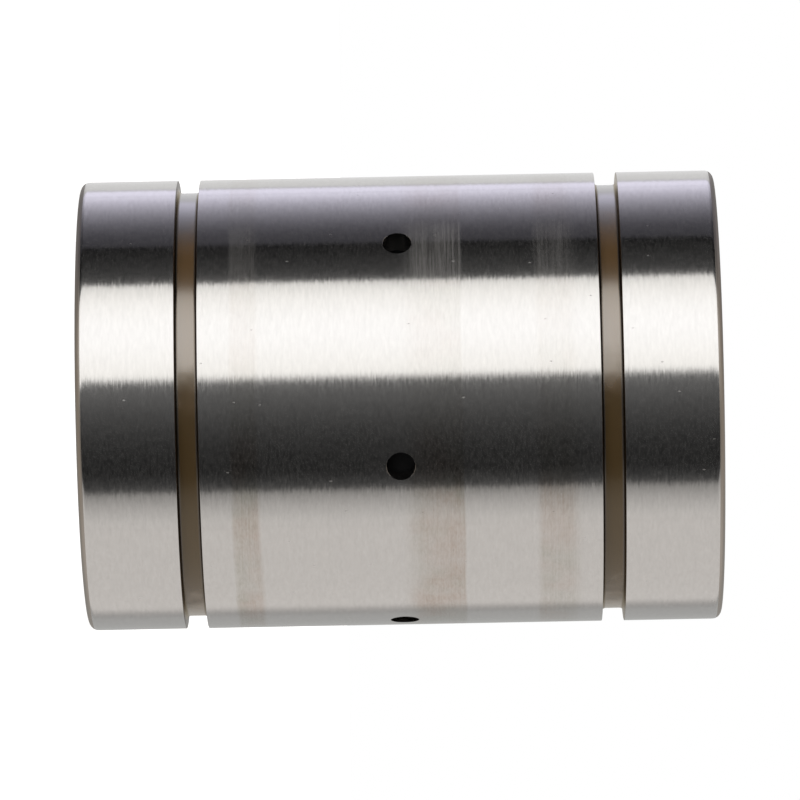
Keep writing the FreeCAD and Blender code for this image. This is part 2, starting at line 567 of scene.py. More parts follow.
    def frayed(self, tree: Tree, place: Socket, mottle: Source, tangent: Source) -> Node:
        """Raises the mottle and tips the surface to and fro round the axis, which frays what it mirrors.

        Args:
            tree: The material's nodes.
            place: Object coordinates.
            mottle: The fine mottle.
            tangent: The direction round the axis.

        Returns:
            The normal.
        """
        bump = add_node(tree, "Bump", {"Height": mottle, "Distance": self.grain_depth, "Strength": 1.0})
        streaks = self.drawn_out(tree, place, self.fray_length, self.fray_width)
        tip = add_node(tree, "Math", (streaks, self.fray, -self.fray / 2), operation="MULTIPLY_ADD")
        aside = add_node(tree, "VectorMath", {0: tangent, "Scale": tip}, operation="SCALE")
        tipped = add_node(tree, "VectorMath", (bump, aside), operation="ADD")
        return add_node(tree, "VectorMath", (tipped,), operation="NORMALIZE")

    def banded(self, tree: Tree, place: Socket, strengths: list[float]) -> Source:
        """Marks the bands of the film.

        Args:
            tree: The material's nodes.
            place: Object coordinates.
            strengths: How strongly each band is marked.

        Returns:
            The strength of the band that a point lies in, and 0 outside the bands.
        """
        parts = add_node(tree, "SeparateXYZ", (place,))
        waver = add_node(tree, "TexNoise", {"Vector": place, "Scale": 1 / self.film_wave, "Detail": 4.0})
        drift = add_node(tree, "MapRange", (waver, 0.0, 1.0, -self.film_waver, self.film_waver))
        height = add_node(tree, "Math", (parts.outputs["Z"], drift), operation="ADD")
        total: Source = 0.0
        for band, strength in zip(self.bands, strengths):
            low = about(band.low, band.low_edge)
            high = about(band.high, band.high_edge)
            rise = add_node(tree, "MapRange", (height, *low, 0.0, strength), **SMOOTH)
            fall = add_node(tree, "MapRange", (height, *high, strength, 0.0), **SMOOTH)
            share = add_node(tree, "Math", (rise, fall), operation="MINIMUM")
            total = add_node(tree, "Math", (total, share), operation="MAXIMUM")
        return total

    def worn(self, tree: Tree, place: Socket, banded: Source) -> Node:
        """Wears the film thin where the sleeve has been handled, and fades it on the far side.

        Args:
            tree: The material's nodes.
            place: Object coordinates.
            banded: The film in its bands.

        Returns:
            How thick the film is, from 0 to 1.
        """
        handled = facing(tree, place, self.radius, self.worn_angle)
        left_over = add_node(tree, "MapRange", (handled, *self.worn_facing, 1.0, self.worn_film), **SMOOTH)
        near = facing(tree, place, self.radius, self.film_angle)
        faded = add_node(tree, "MapRange", (near, *self.film_facing, self.far_film, 1.0), **SMOOTH)
        thinned = add_node(tree, "Math", (left_over, faded), operation="MULTIPLY")
        return add_node(tree, "Math", (banded, thinned), operation="MULTIPLY")

    def tint(self, tree: Tree, place: Socket, film: Source, mottle: Source, lines: Source) -> Node:
        """Colours the steel under its film, which is patchy, streaked and here and there specked.

        Args:
            tree: The material's nodes.
            place: Object coordinates.
            film: How thick the film is.
            mottle: The fine mottle.
            lines: The fine lines of the grinding.

        Returns:
            The colour.
        """
        clouds = add_node(tree, "TexNoise", {"Vector": place, "Scale": 1 / self.cloud_size, "Detail": 3.0})
        patchy = add_node(tree, "MapRange", (clouds, *self.cloud_noise, *self.cloud_cover))
        streaked = add_node(tree, "Math", (mottle, lines), operation="ADD")
        streaks = add_node(tree, "MapRange", (streaked, *self.streak_noise, *self.streak_cover))
        uneven = add_node(tree, "Math", (patchy, streaks), operation="MULTIPLY")
        covered = add_node(tree, "Math", (film, uneven), operation="MULTIPLY")

        parts = add_node(tree, "SeparateColor", (clouds.outputs["Color"],))
        olive = add_node(tree, "MapRange", (parts.outputs["Blue"], *self.olive_noise))
        stain = {"Factor": olive, "A": linear(self.film_colour), "B": linear(self.film_olive)}
        stained = add_node(tree, "Mix", stain, data_type="RGBA")
        under_film = {"Factor": covered, "A": linear(self.colour), "B": stained}
        filmed = add_node(tree, "Mix", under_film, data_type="RGBA")

        dots = add_node(tree, "MapRange", (mottle, *self.speck_noise), **SMOOTH)
        specks = add_node(tree, "Math", (dots, covered), operation="MULTIPLY")
        specked = {"Factor": specks, "A": filmed, "B": linear(self.speck_colour)}
        return add_node(tree, "Mix", specked, data_type="RGBA")

    def rubbed(self, tree: Tree, place: Socket, banded: Source, lines: Source) -> Node:
        """Marks where the film has been rubbed off in fine lines, on one side of the sleeve.

        Args:
            tree: The material's nodes.
            place: Object coordinates.
            banded: How far each band is rubbed.
            lines: The fine lines of the grinding.

        Returns:
            How dull the surface is, from 0 to 1.
        """
        limits = [math.cos(math.radians(self.rubbed_spread * share)) for share in self.rubbed_fade]
        side = facing(tree, place, self.radius, self.rubbed_angle)
        patch = add_node(tree, "MapRange", (side, *limits), **SMOOTH)
        strokes = add_node(tree, "MapRange", (lines, *self.stroke_noise, *self.stroke_share), **SMOOTH)
        share = add_node(tree, "Math", (patch, banded), operation="MULTIPLY")
        return add_node(tree, "Math", (share, strokes), operation="MULTIPLY")

    def nicks(self, tree: Tree, place: Socket) -> Node:
        """Scatters tiny nicks over the unrolled surface.

        Args:
            tree: The material's nodes.
            place: Object coordinates.

        Returns:
            1 in a nick and 0 elsewhere.
        """
        parts = add_node(tree, "SeparateXYZ", (place,))
        angle = add_node(tree, "Math", (parts.outputs["Y"], parts.outputs["X"]), operation="ARCTAN2")
        around = add_node(tree, "Math", (angle, self.radius), operation="MULTIPLY")
        along = add_node(tree, "Math", (parts.outputs["Z"], self.nick_stretch), operation="DIVIDE")
        unrolled = add_node(tree, "CombineXYZ", (around, along))
        spaced = {"Vector": unrolled, "Scale": 1 / self.nick_spacing}
        cells = add_node(tree, "TexVoronoi", spaced, voronoi_dimensions="2D")
        near = add_node(tree, "MapRange", (cells.outputs["Distance"], *self.nick_rim, 1.0, 0.0), **SMOOTH)
        chance = add_node(tree, "SeparateColor", (cells.outputs["Color"],)).outputs["Red"]
        chosen = add_node(tree, "Math", (chance, self.nick_free), operation="GREATER_THAN")
        return add_node(tree, "Math", (near, chosen), operation="MULTIPLY")


@dataclass(frozen=True)
class BrownOxide:
    """Turned steel with the brown oxide that heat treatment leaves.

    It gives the eye a dark skin, glassy and nearly colourless on one side of the sleeve, darker brown and
    dull on the other, with painted shade in the corners of the groove.
    """

    radius: float
    middle: float
    groove_offset: float  # from mid-length to the middle of a groove
    faint_colour: str = "#3A3938"
    faint_gloss_colour: str = "#FCFBFF"
    brown_colour: str = "#5F4A2C"
    dark_brown_colour: str = "#4A3A22"
    # painted shade: the dark grey metal that darkens the corners of both grooves
    corner_shade_colour: str = "#5F5B57"
    skin_gloss_colour: str = "#FFF4E1"
    skin_ior: float = 1.65  # of the skin on its dark brown, dull side
    gloss_ior: float = 2.4  # of the clear glassy layer over the skin away from its dark brown side
    roughness: float = 0.2
    roughness_spread: float = 0.06
    cloud_size: float = 2.0 * MM
    cloud_shift: float = 0.3  # how far the clouds shift the borders of the skin
    dark_brown_angle: float = -44.0  # where about the axis the skin is darkest and dullest
    brown_facing: Span = (-0.1, 0.2)  # how squarely a point faces that way where brown begins and is full
    dark_brown_facing: Span = (0.68, 0.9)  # the same for the dark brown
    unshaded_width: float = 0.52 * MM  # on each side of the groove's middle, up to where the painted shade begins
    # width over which the painted shade in the corners fades in
    corner_shade_width: float = 0.16 * MM

    def material(self) -> Material:
        """Makes the material of the ring grooves.

        Returns:
            The material.
        """
        material, tree = new_material("turned_steel_brown_oxide")
        place = add_node(tree, "TexCoord").outputs["Object"]
        clouds = add_node(tree, "TexNoise", {"Vector": place, "Scale": 1 / self.cloud_size, "Detail": 2.0})
        to_and_fro = (clouds, self.cloud_shift, -self.cloud_shift / 2)
        shift = add_node(tree, "Math", to_and_fro, operation="MULTIPLY_ADD")
        side = facing(tree, place, self.radius, self.dark_brown_angle)
        skin = add_node(tree, "Math", (side, shift), operation="ADD")
        browned = add_node(tree, "MapRange", (skin, *self.brown_facing), **SMOOTH)
        # the skin turns darker brown and loses its glassy layer towards one side of the sleeve
        dark_brown = add_node(tree, "MapRange", (skin, *self.dark_brown_facing), **SMOOTH)
        # painted shade along the corners of both grooves, darker and fully metallic there
        corner_shade = self.corner_shade(tree, place)

        brown_tones = {"Factor": dark_brown, "A": linear(self.brown_colour), "B": linear(self.dark_brown_colour)}
        brown = add_node(tree, "Mix", brown_tones, data_type="RGBA")
        skin_tones = {"Factor": browned, "A": linear(self.faint_colour), "B": brown}
        # the colour before the painted shade in the groove corners
        unmarked = add_node(tree, "Mix", skin_tones, data_type="RGBA")
        # painted shade darkens the colour next to the groove walls
        shaded_corners = {"Factor": corner_shade, "A": unmarked, "B": linear(self.corner_shade_colour)}
        tint = add_node(tree, "Mix", shaded_corners, data_type="RGBA")

        glossiest, roughest = about(self.roughness, self.roughness_spread)
        roughness = add_node(tree, "MapRange", (clouds, 0.0, 1.0, roughest, glossiest))
        dull = add_node(tree, "Math", (dark_brown, corner_shade), operation="MAXIMUM")
        glassy = add_node(tree, "Math", (1.0, dull), operation="SUBTRACT")
        skin_gloss = linear(self.skin_gloss_colour)
        gloss_tones = {"Factor": browned, "A": linear(self.faint_gloss_colour), "B": skin_gloss}
        gloss = add_node(tree, "Mix", gloss_tones, data_type="RGBA")
        surface = add_node(tree, "BsdfPrincipled", {
            "Base Color": tint, "Metallic": corner_shade, "Roughness": roughness, "IOR": self.skin_ior,
            "Specular Tint": skin_gloss, "Coat Weight": glassy, "Coat Roughness": self.roughness,
            "Coat IOR": self.gloss_ior, "Coat Tint": gloss})
        add_node(tree, "OutputMaterial", {"Surface": surface})
        return material

    def corner_shade(self, tree: Tree, place: Socket) -> Node:
        """Paints shade along the corners of both grooves, as a dark grey metal.

        Args:
            tree: The material's nodes.
            place: Object coordinates.

        Returns:
            How strong the painted shade is, from 0 to 1.
        """
        distance = add_node(tree, "SeparateXYZ", (place,)).outputs["Z"]
        for centre in (self.middle, self.groove_offset):
            beside = add_node(tree, "Math", (distance, centre), operation="SUBTRACT")
            distance = add_node(tree, "Math", (beside,), operation="ABSOLUTE")
        limits = (self.unshaded_width, self.unshaded_width + self.corner_shade_width)
        return add_node(tree, "MapRange", (distance, *limits), **SMOOTH)


@dataclass(frozen=True)
class TurnedSteel:
    """Hard steel as a tool left it: grey and satin, with fine tool lines round the axis."""

    name: str
    colour: str
    roughness: float
    roughness_spread: float = 0.08
    line_pitch: float = 0.12 * MM
    line_depth: float = 0.006 * MM

    def material(self) -> Material:
        """Makes the material of a turned, drilled or tumbled face.

        Returns:
            The material.
        """
        material, tree = new_material(self.name)
        place = add_node(tree, "TexCoord").outputs["Object"]
        flat = add_node(tree, "VectorMath", (place, (1.0, 1.0, 0.0)), operation="MULTIPLY")
        across = add_node(tree, "VectorMath", (flat,), operation="LENGTH")
        height = add_node(tree, "SeparateXYZ", (place,)).outputs["Z"]
        section = add_node(tree, "CombineXYZ", (across, height))
        pitch = {"Vector": section, "Scale": 1 / self.line_pitch, "Detail": 2.0}
        lines = add_node(tree, "TexNoise", pitch, noise_dimensions="2D")
        bump = add_node(tree, "Bump", {"Height": lines, "Distance": self.line_depth, "Strength": 1.0})
        spread = about(self.roughness, self.roughness_spread)
        roughness = add_node(tree, "MapRange", (lines, 0.0, 1.0, *spread))
        surface = add_node(tree, "BsdfPrincipled", {
            "Base Color": linear(self.colour), "Metallic": 1.0, "Roughness": roughness, "Normal": bump})
        add_node(tree, "OutputMaterial", {"Surface": surface})
        return material


@dataclass(frozen=True)
class PolishedBallSteel:
    """Lapped bearing balls: a bright mirror with the faintest haze of oil."""

    colour: str = "#D2D2D4"
    roughness: float = 0.06
    hazy_roughness: float = 0.12
    haze_size: float = 1.2 * MM
    haze_noise: Span = (0.35, 0.75)

    def material(self) -> Material:
        """Makes the material of the balls.

        Returns:
            The material.
        """
        material, tree = new_material("chrome_steel_lapped")
        place = add_node(tree, "TexCoord").outputs["Object"]
        haze = add_node(tree, "TexNoise", {"Vector": place, "Scale": 1 / self.haze_size, "Detail": 2.0})
        hazed = (haze, *self.haze_noise, self.roughness, self.hazy_roughness)
        roughness = add_node(tree, "MapRange", hazed)
        surface = add_node(tree, "BsdfPrincipled", {
            "Base Color": linear(self.colour), "Metallic": 1.0, "Roughness": roughness})
        add_node(tree, "OutputMaterial", {"Surface": surface})
        return material


@dataclass(frozen=True)
class MouldedFinish:
    """A moulded black part: even and dark, with a fine grain from the mould and slight changes of gloss."""

    name: str
    colour: str
    worn_colour: str
    roughness: float
    grain: float  # coarser than the real grain, so that it shows
    grain_depth: float
    gloss: float = 0.5  # the shader's own level for a smooth plastic
    cloud_grains: float = 18  # size of a change of gloss in grains
    roughness_spread: float = 0.08

    def material(self) -> Material:
        """Makes the material of a moulded part.

        Returns:
            The material.
        """
        material, tree = new_material(self.name)
        place = add_node(tree, "TexCoord").outputs["Object"]
        grain = add_node(tree, "TexNoise", {"Vector": place, "Scale": 1 / self.grain, "Detail": 3.0})
        cloud_scale = 1 / (self.cloud_grains * self.grain)
        clouds = add_node(tree, "TexNoise", {"Vector": place, "Scale": cloud_scale, "Detail": 2.0})
        tones = {"Factor": clouds, "A": linear(self.colour), "B": linear(self.worn_colour)}
        tint = add_node(tree, "Mix", tones, data_type="RGBA")
        spread = about(self.roughness, self.roughness_spread)
        roughness = add_node(tree, "MapRange", (clouds, 0.0, 1.0, *spread))
        bump = add_node(tree, "Bump", {"Height": grain, "Distance": self.grain_depth, "Strength": 1.0})
        surface = add_node(tree, "BsdfPrincipled", {
            "Base Color": tint, "Roughness": roughness, "Normal": bump, "Specular IOR Level": self.gloss})
        add_node(tree, "OutputMaterial", {"Surface": surface})
        return material


@dataclass(frozen=True)
class PhosphatedSteel:
    """Spring steel with a phosphate coat: dark grey, nearly matt and finely crystalline."""

    colour: str = "#4A4A4B"
    metallic: float = 0.85  # the coat itself is no metal
    roughness: float = 0.5
    roughness_spread: float = 0.12
    crystal: float = 0.08 * MM  # coarser than real crystals, so that they show

    def material(self) -> Material:
        """Makes the material of the snap rings.

        Returns:
            The material.
        """
        material, tree = new_material("spring_steel_phosphated")
        place = add_node(tree, "TexCoord").outputs["Object"]
        crystals = add_node(tree, "TexNoise", {"Vector": place, "Scale": 1 / self.crystal, "Detail": 2.0})
        spread = about(self.roughness, self.roughness_spread)
        roughness = add_node(tree, "MapRange", (crystals, 0.0, 1.0, *spread))
        surface = add_node(tree, "BsdfPrincipled", {
            "Base Color": linear(self.colour), "Metallic": self.metallic, "Roughness": roughness})
        add_node(tree, "OutputMaterial", {"Surface": surface})
        return material


END_FACES = TurnedSteel("hardened_steel_turned", "#A8A19A", 0.3)
END_ROUNDS = TurnedSteel("hardened_steel_tumbled", "#ABA49C", 0.42)
HOLE_WALLS = TurnedSteel("hardened_steel_drilled", "#B9B5B1", 0.16, line_depth=0.001 * MM)
CAGE_NYLON = MouldedFinish("nylon_moulded_black", "#0C0D0E", "#151618", 0.5, 0.12 * MM, 0.006 * MM, 0.2)
SEAL_NITRILE = MouldedFinish("nitrile_rubber_moulded", "#121213", "#1F1F20", 0.55, 0.10 * MM, 0.008 * MM)


# Sub-assemblies


@dataclass
class Sleeve:
    """The outer sleeve with its ring grooves, lubrication holes, lands and finished ends."""

    radius: float
    length: float
    steps: int = 360  # faces around the sleeve
    circuit_count: int = 6  # ball circuits, each with one land and one lubrication hole
    bore_radius: float = 14.3 * MM
    bore_chamfer: float = 0.3 * MM
    end_round: float = 0.6 * MM
    end_round_faces: int = 8
    ground_outwards: float = 0.906  # share of the normal that looks outwards where the ground finish begins
    round_outwards: float = 0.1  # the same for the end rounds
    ring_groove_span: float = 31.2 * MM
    ring_groove_width: float = 1.6 * MM
    ring_groove_depth: float = 0.9 * MM
    groove_rim_round: float = 0.03 * MM
    groove_rim_faces: int = 2
    groove_root_round: float = 0.3 * MM
    groove_root_faces: int = 6
    snap_groove_radius: float = 14.9 * MM
    snap_groove_low: float = 2.45 * MM
    snap_groove_high: float = 3.55 * MM
    hole_diameter: float = 2.0 * MM
    hole_sides: int = 64
    hole_edge_break: float = 0.02 * MM
    hole_band: float = 1.6 * MM  # half the height that gets a fine mesh round the holes
    hole_band_cuts: int = 12
    drill_flare: float = 0.5 * MM  # how far a drill goes on past the start of the broken edge
    land_radius: float = 13.2 * MM
    land_root: float = 0.4 * MM  # how deep a land is rooted in the sleeve's wall
    land_low: float = 10.43 * MM
    land_lead_in: float = 1.2 * MM
    land_width_angle: float = 15.63
    land_angle: float = -15.42  # where about the axis the middle of a land stands
    land_steps: int = 12

    @property
    def middle(self) -> float:
        """Height of the bearing's mid-length."""
        return self.length / 2

    @property
    def groove_low(self) -> float:
        """Height of the lower ring groove's lower wall."""
        return (self.length - self.ring_groove_span) / 2

    @property
    def groove_high(self) -> float:
        """Height of the lower ring groove's upper wall."""
        return self.groove_low + self.ring_groove_width

    @property
    def groove_floor(self) -> float:
        """Radius of a ring groove's floor."""
        return self.radius - self.ring_groove_depth

    def both_ends(self, lower: Outline) -> Outline:
        """Goes on from corners of the lower end, in order, to their mirrored places at the upper end."""
        return lower + [(across, self.length - height) for across, height in reversed(lower)]

    def half_section(self) -> Outline:
        """Draws the sleeve's section on one side of the axis.

        Returns:
            Corners as (radius, height).
        """
        outside = [
            (self.radius, self.middle - self.hole_band),
            (self.radius, self.groove_high),
            (self.groove_floor, self.groove_high),
            (self.groove_floor, self.groove_low),
            (self.radius, self.groove_low),
            (self.radius, 0.0),
        ]
        inside = [
            (self.bore_radius + self.bore_chamfer, 0.0),
            (self.bore_radius, self.bore_chamfer),
            (self.bore_radius, self.snap_groove_low),
            (self.snap_groove_radius, self.snap_groove_low),
            (self.snap_groove_radius, self.snap_groove_high),
            (self.bore_radius, self.snap_groove_high),
        ]
        return self.both_ends(outside + inside)

    def build(self) -> Piece:
        """Models the sleeve.

        Returns:
            The finished piece, not yet dressed.
        """
        piece = turned("sleeve_body", self.half_section(), self.steps)
        ends = [(self.radius, 0.0)]
        rims = [(self.radius, self.groove_low), (self.radius, self.groove_high)]
        roots = [(self.groove_floor, self.groove_low), (self.groove_floor, self.groove_high)]
        round_rings(piece, self.both_ends(ends), self.end_round, self.end_round_faces)
        round_rings(piece, self.both_ends(rims), self.groove_rim_round, self.groove_rim_faces)
        round_rings(piece, self.both_ends(roots), self.groove_root_round, self.groove_root_faces)
        self.refine_hole_band(piece)
        combine(piece, self.land_solids(), Operation.JOIN_ON)
        combine(piece, self.hole_drills(), Operation.CUT_AWAY)
        smooth(piece)
        return piece

    def refine_hole_band(self, piece: Piece) -> None:
        """Divides the band that the holes go through, so that its faces stay small round them.

        Args:
            piece: The sleeve before its holes are cut.
        """
        span = 2 * self.hole_band

        def crosses_band(first: Vector, last: Vector) -> bool:
            """Says whether an edge of the outside runs up across the band."""
            upright = abs(abs(first.z - last.z) - span) < PLACE_TOLERANCE
            return upright and first.xy.length > self.groove_floor

        select_edges(piece, crosses_band)
        with editing(piece):
            bpy.ops.mesh.subdivide(number_cuts=self.hole_band_cuts)

    def land_solids(self) -> Piece:
        """Models the raised lands that the loaded balls run on.

        Returns:
            The lands as closed solids, rooted in the sleeve's wall.
        """
        outline = self.both_ends([
            (self.bore_radius + self.land_root, self.land_low),
            (self.bore_radius, self.land_low),
            (self.land_radius, self.land_low + self.land_lead_in),
        ])
        lands = traced("lands", outline, self.land_angle - self.land_width_angle / 2)
        with editing(lands):
            bpy.ops.mesh.select_all(action="SELECT")
            bpy.ops.mesh.edge_face_add()
            bpy.ops.mesh.spin(steps=self.land_steps, angle=math.radians(self.land_width_angle), **ABOUT_AXIS)
            face_outwards()
        repeat_around(lands, self.circuit_count)
        return lands

    def hole_drills(self) -> Piece:
        """Models the drills of the lubrication holes, each flared where it breaks the edge.

        Returns:
            The drills as closed solids.
        """
        hole_radius = self.hole_diameter / 2
        flare_start = self.radius - self.hole_edge_break
        depth = flare_start - self.land_radius
        bpy.ops.object.select_all(action="DESELECT")
        bpy.ops.mesh.primitive_cylinder_add(
            vertices=self.hole_sides, radius=hole_radius, depth=depth,
            location=(self.land_radius + depth / 2, 0, self.middle), rotation=(0, math.pi / 2, 0))
        drills = bpy.context.object
        bpy.ops.object.transform_apply(location=True, rotation=True, scale=True)
        select_faces(drills, lambda normal: normal.x > SQUARELY)
        with editing(drills):
            bpy.ops.mesh.extrude_region_move(TRANSFORM_OT_translate={"value": (self.drill_flare, 0, 0)})
            widened = (hole_radius + self.drill_flare) / hole_radius
            flare_end = (flare_start + self.drill_flare, 0, self.middle)
            bpy.ops.transform.resize(value=(1, widened, widened), center_override=flare_end)
            face_outwards()
        repeat_around(drills, self.circuit_count)
        return drills

    def kind_of(self, face: bpy.types.MeshPolygon) -> SleeveFace:
        """Finds out what kind of face one is by where it lies and how it looks outwards.

        Args:
            face: A face of the finished sleeve.

        Returns:
            Its kind.
        """
        across = face.center.xy.length
        from_end = min(face.center.z, self.length - face.center.z)
        outwards = face.normal.xy.dot(face.center.xy) / across
        in_wall = across > self.bore_radius
        outside = across > self.groove_floor
        if in_wall and self.groove_low < from_end < self.groove_high:
            return SleeveFace.OXIDE
        if outside and outwards > self.ground_outwards:
            return SleeveFace.GROUND
        if outside and outwards > self.round_outwards and from_end < self.end_round:
            return SleeveFace.TUMBLED
        if in_wall and abs(face.center.z - self.middle) < self.hole_diameter / 2:
            return SleeveFace.DRILLED
        return SleeveFace.TURNED

    def dress(self, piece: Piece) -> None:
        """Gives each face of the sleeve the finish of its kind.

        Args:
            piece: The finished sleeve.
        """
        groove_offset = (self.ring_groove_span - self.ring_groove_width) / 2
        finishes = {
            SleeveFace.GROUND: GroundSteel(self.radius),
            SleeveFace.OXIDE: BrownOxide(self.groove_floor, self.middle, groove_offset),
            SleeveFace.TURNED: END_FACES,
            SleeveFace.TUMBLED: END_ROUNDS,
            SleeveFace.DRILLED: HOLE_WALLS,
        }
        for kind in SleeveFace:
            piece.data.materials.append(finishes[kind].material())
        for face in piece.data.polygons:
            face.material_index = self.kind_of(face).value


@dataclass
class LipSeal:
    """The rubber seal of one end, with a flat rim and a lip that meets the shaft."""

    outer_radius: float = 14.25 * MM
    low: float = 0.4 * MM
    high: float = 2.4 * MM
    lip_radius: float = 10.0 * MM
    lip_low: float = 1.0 * MM
    lip_high: float = 1.4 * MM
    lip_faces: int = 4
    seat_radius: float = 12.4 * MM
    heel_radius: float = 11.4 * MM
    channel_radius: float = 13.35 * MM  # middle of the shallow channel in the rim
    channel_width: float = 0.6 * MM
    channel_depth: float = 0.15 * MM
    channel_edge_round: float = 0.05 * MM
    corner_round: float = 0.12 * MM
    corner_faces: int = 3
    steps: int = 240  # faces around the seal

    def build(self) -> Piece:
        """Models the seal of the lower end.

        Returns:
            The finished piece, not yet dressed.
        """
        channel_inner, channel_outer = about(self.channel_radius, self.channel_width / 2)
        channel_floor = self.low + self.channel_depth
        outline = [
            (self.outer_radius, self.low),
            (channel_outer, self.low),
            (channel_outer, channel_floor),
            (channel_inner, channel_floor),
            (channel_inner, self.low),
            (self.seat_radius, self.low),
            (self.lip_radius, self.lip_low),
            (self.lip_radius, self.lip_high),
            (self.heel_radius, self.high),
            (self.outer_radius, self.high),
        ]
        piece = turned("lower_lip_seal", outline, self.steps)
        rim_corners = [(self.outer_radius, self.low), (self.outer_radius, self.high)]
        lip_corners = [(self.lip_radius, self.lip_low), (self.lip_radius, self.lip_high)]
        channel_edges = [(channel_outer, self.low), (channel_inner, self.low)]
        round_rings(piece, rim_corners, self.corner_round, self.corner_faces)
        round_rings(piece, lip_corners, self.corner_round, self.lip_faces)
        round_rings(piece, channel_edges, self.channel_edge_round, self.corner_faces)
        round_rings(piece, [(self.seat_radius, self.low)], self.corner_round, self.corner_faces)
        smooth(piece)
        return piece

    def dress(self, piece: Piece) -> None:
        """Gives the seal its rubber."""
        piece.data.materials.append(SEAL_NITRILE.material())


@dataclass
class InnerParts:
    """The cage, balls and snap rings, which keep their own solids and get their finishes."""

    frame: dict[str, Any]

    def dress(self) -> list[str]:
        """Gives each carried-over solid the finish of its slot.

        Returns:
            The names of the solids.
        """
        finishes = {
            Slot.BALL_STEEL: PolishedBallSteel().material(),
            Slot.CAGE_PLASTIC: CAGE_NYLON.material(),
            Slot.SPRING_STEEL: PhosphatedSteel().material(),
        }
        dressed = []
        for subpart in self.frame["record"]["subparts"]:
            finish = finishes.get(Slot(subpart["material_slot"]))
            if finish is not None:
                solid = self.frame["nodes"][subpart["node"]]
                solid.data.materials.clear()
                solid.data.materials.append(finish)
                dressed.append(subpart["node"])
        return dressed


# Studio


@dataclass(frozen=True)
class LightPanel:
    """A light or dark panel that stands upright round the bearing.

    Headings are counted from the studio's front. A panel's brightness changes from start to end, evenly when
    the curve is 1, late when it is more and early when it is less.
    """

    name: str
    start: float
    end: float
    start_blur: float
    end_blur: float
    colour: str
    start_level: float
    end_level: float
    curve: float = 1.0


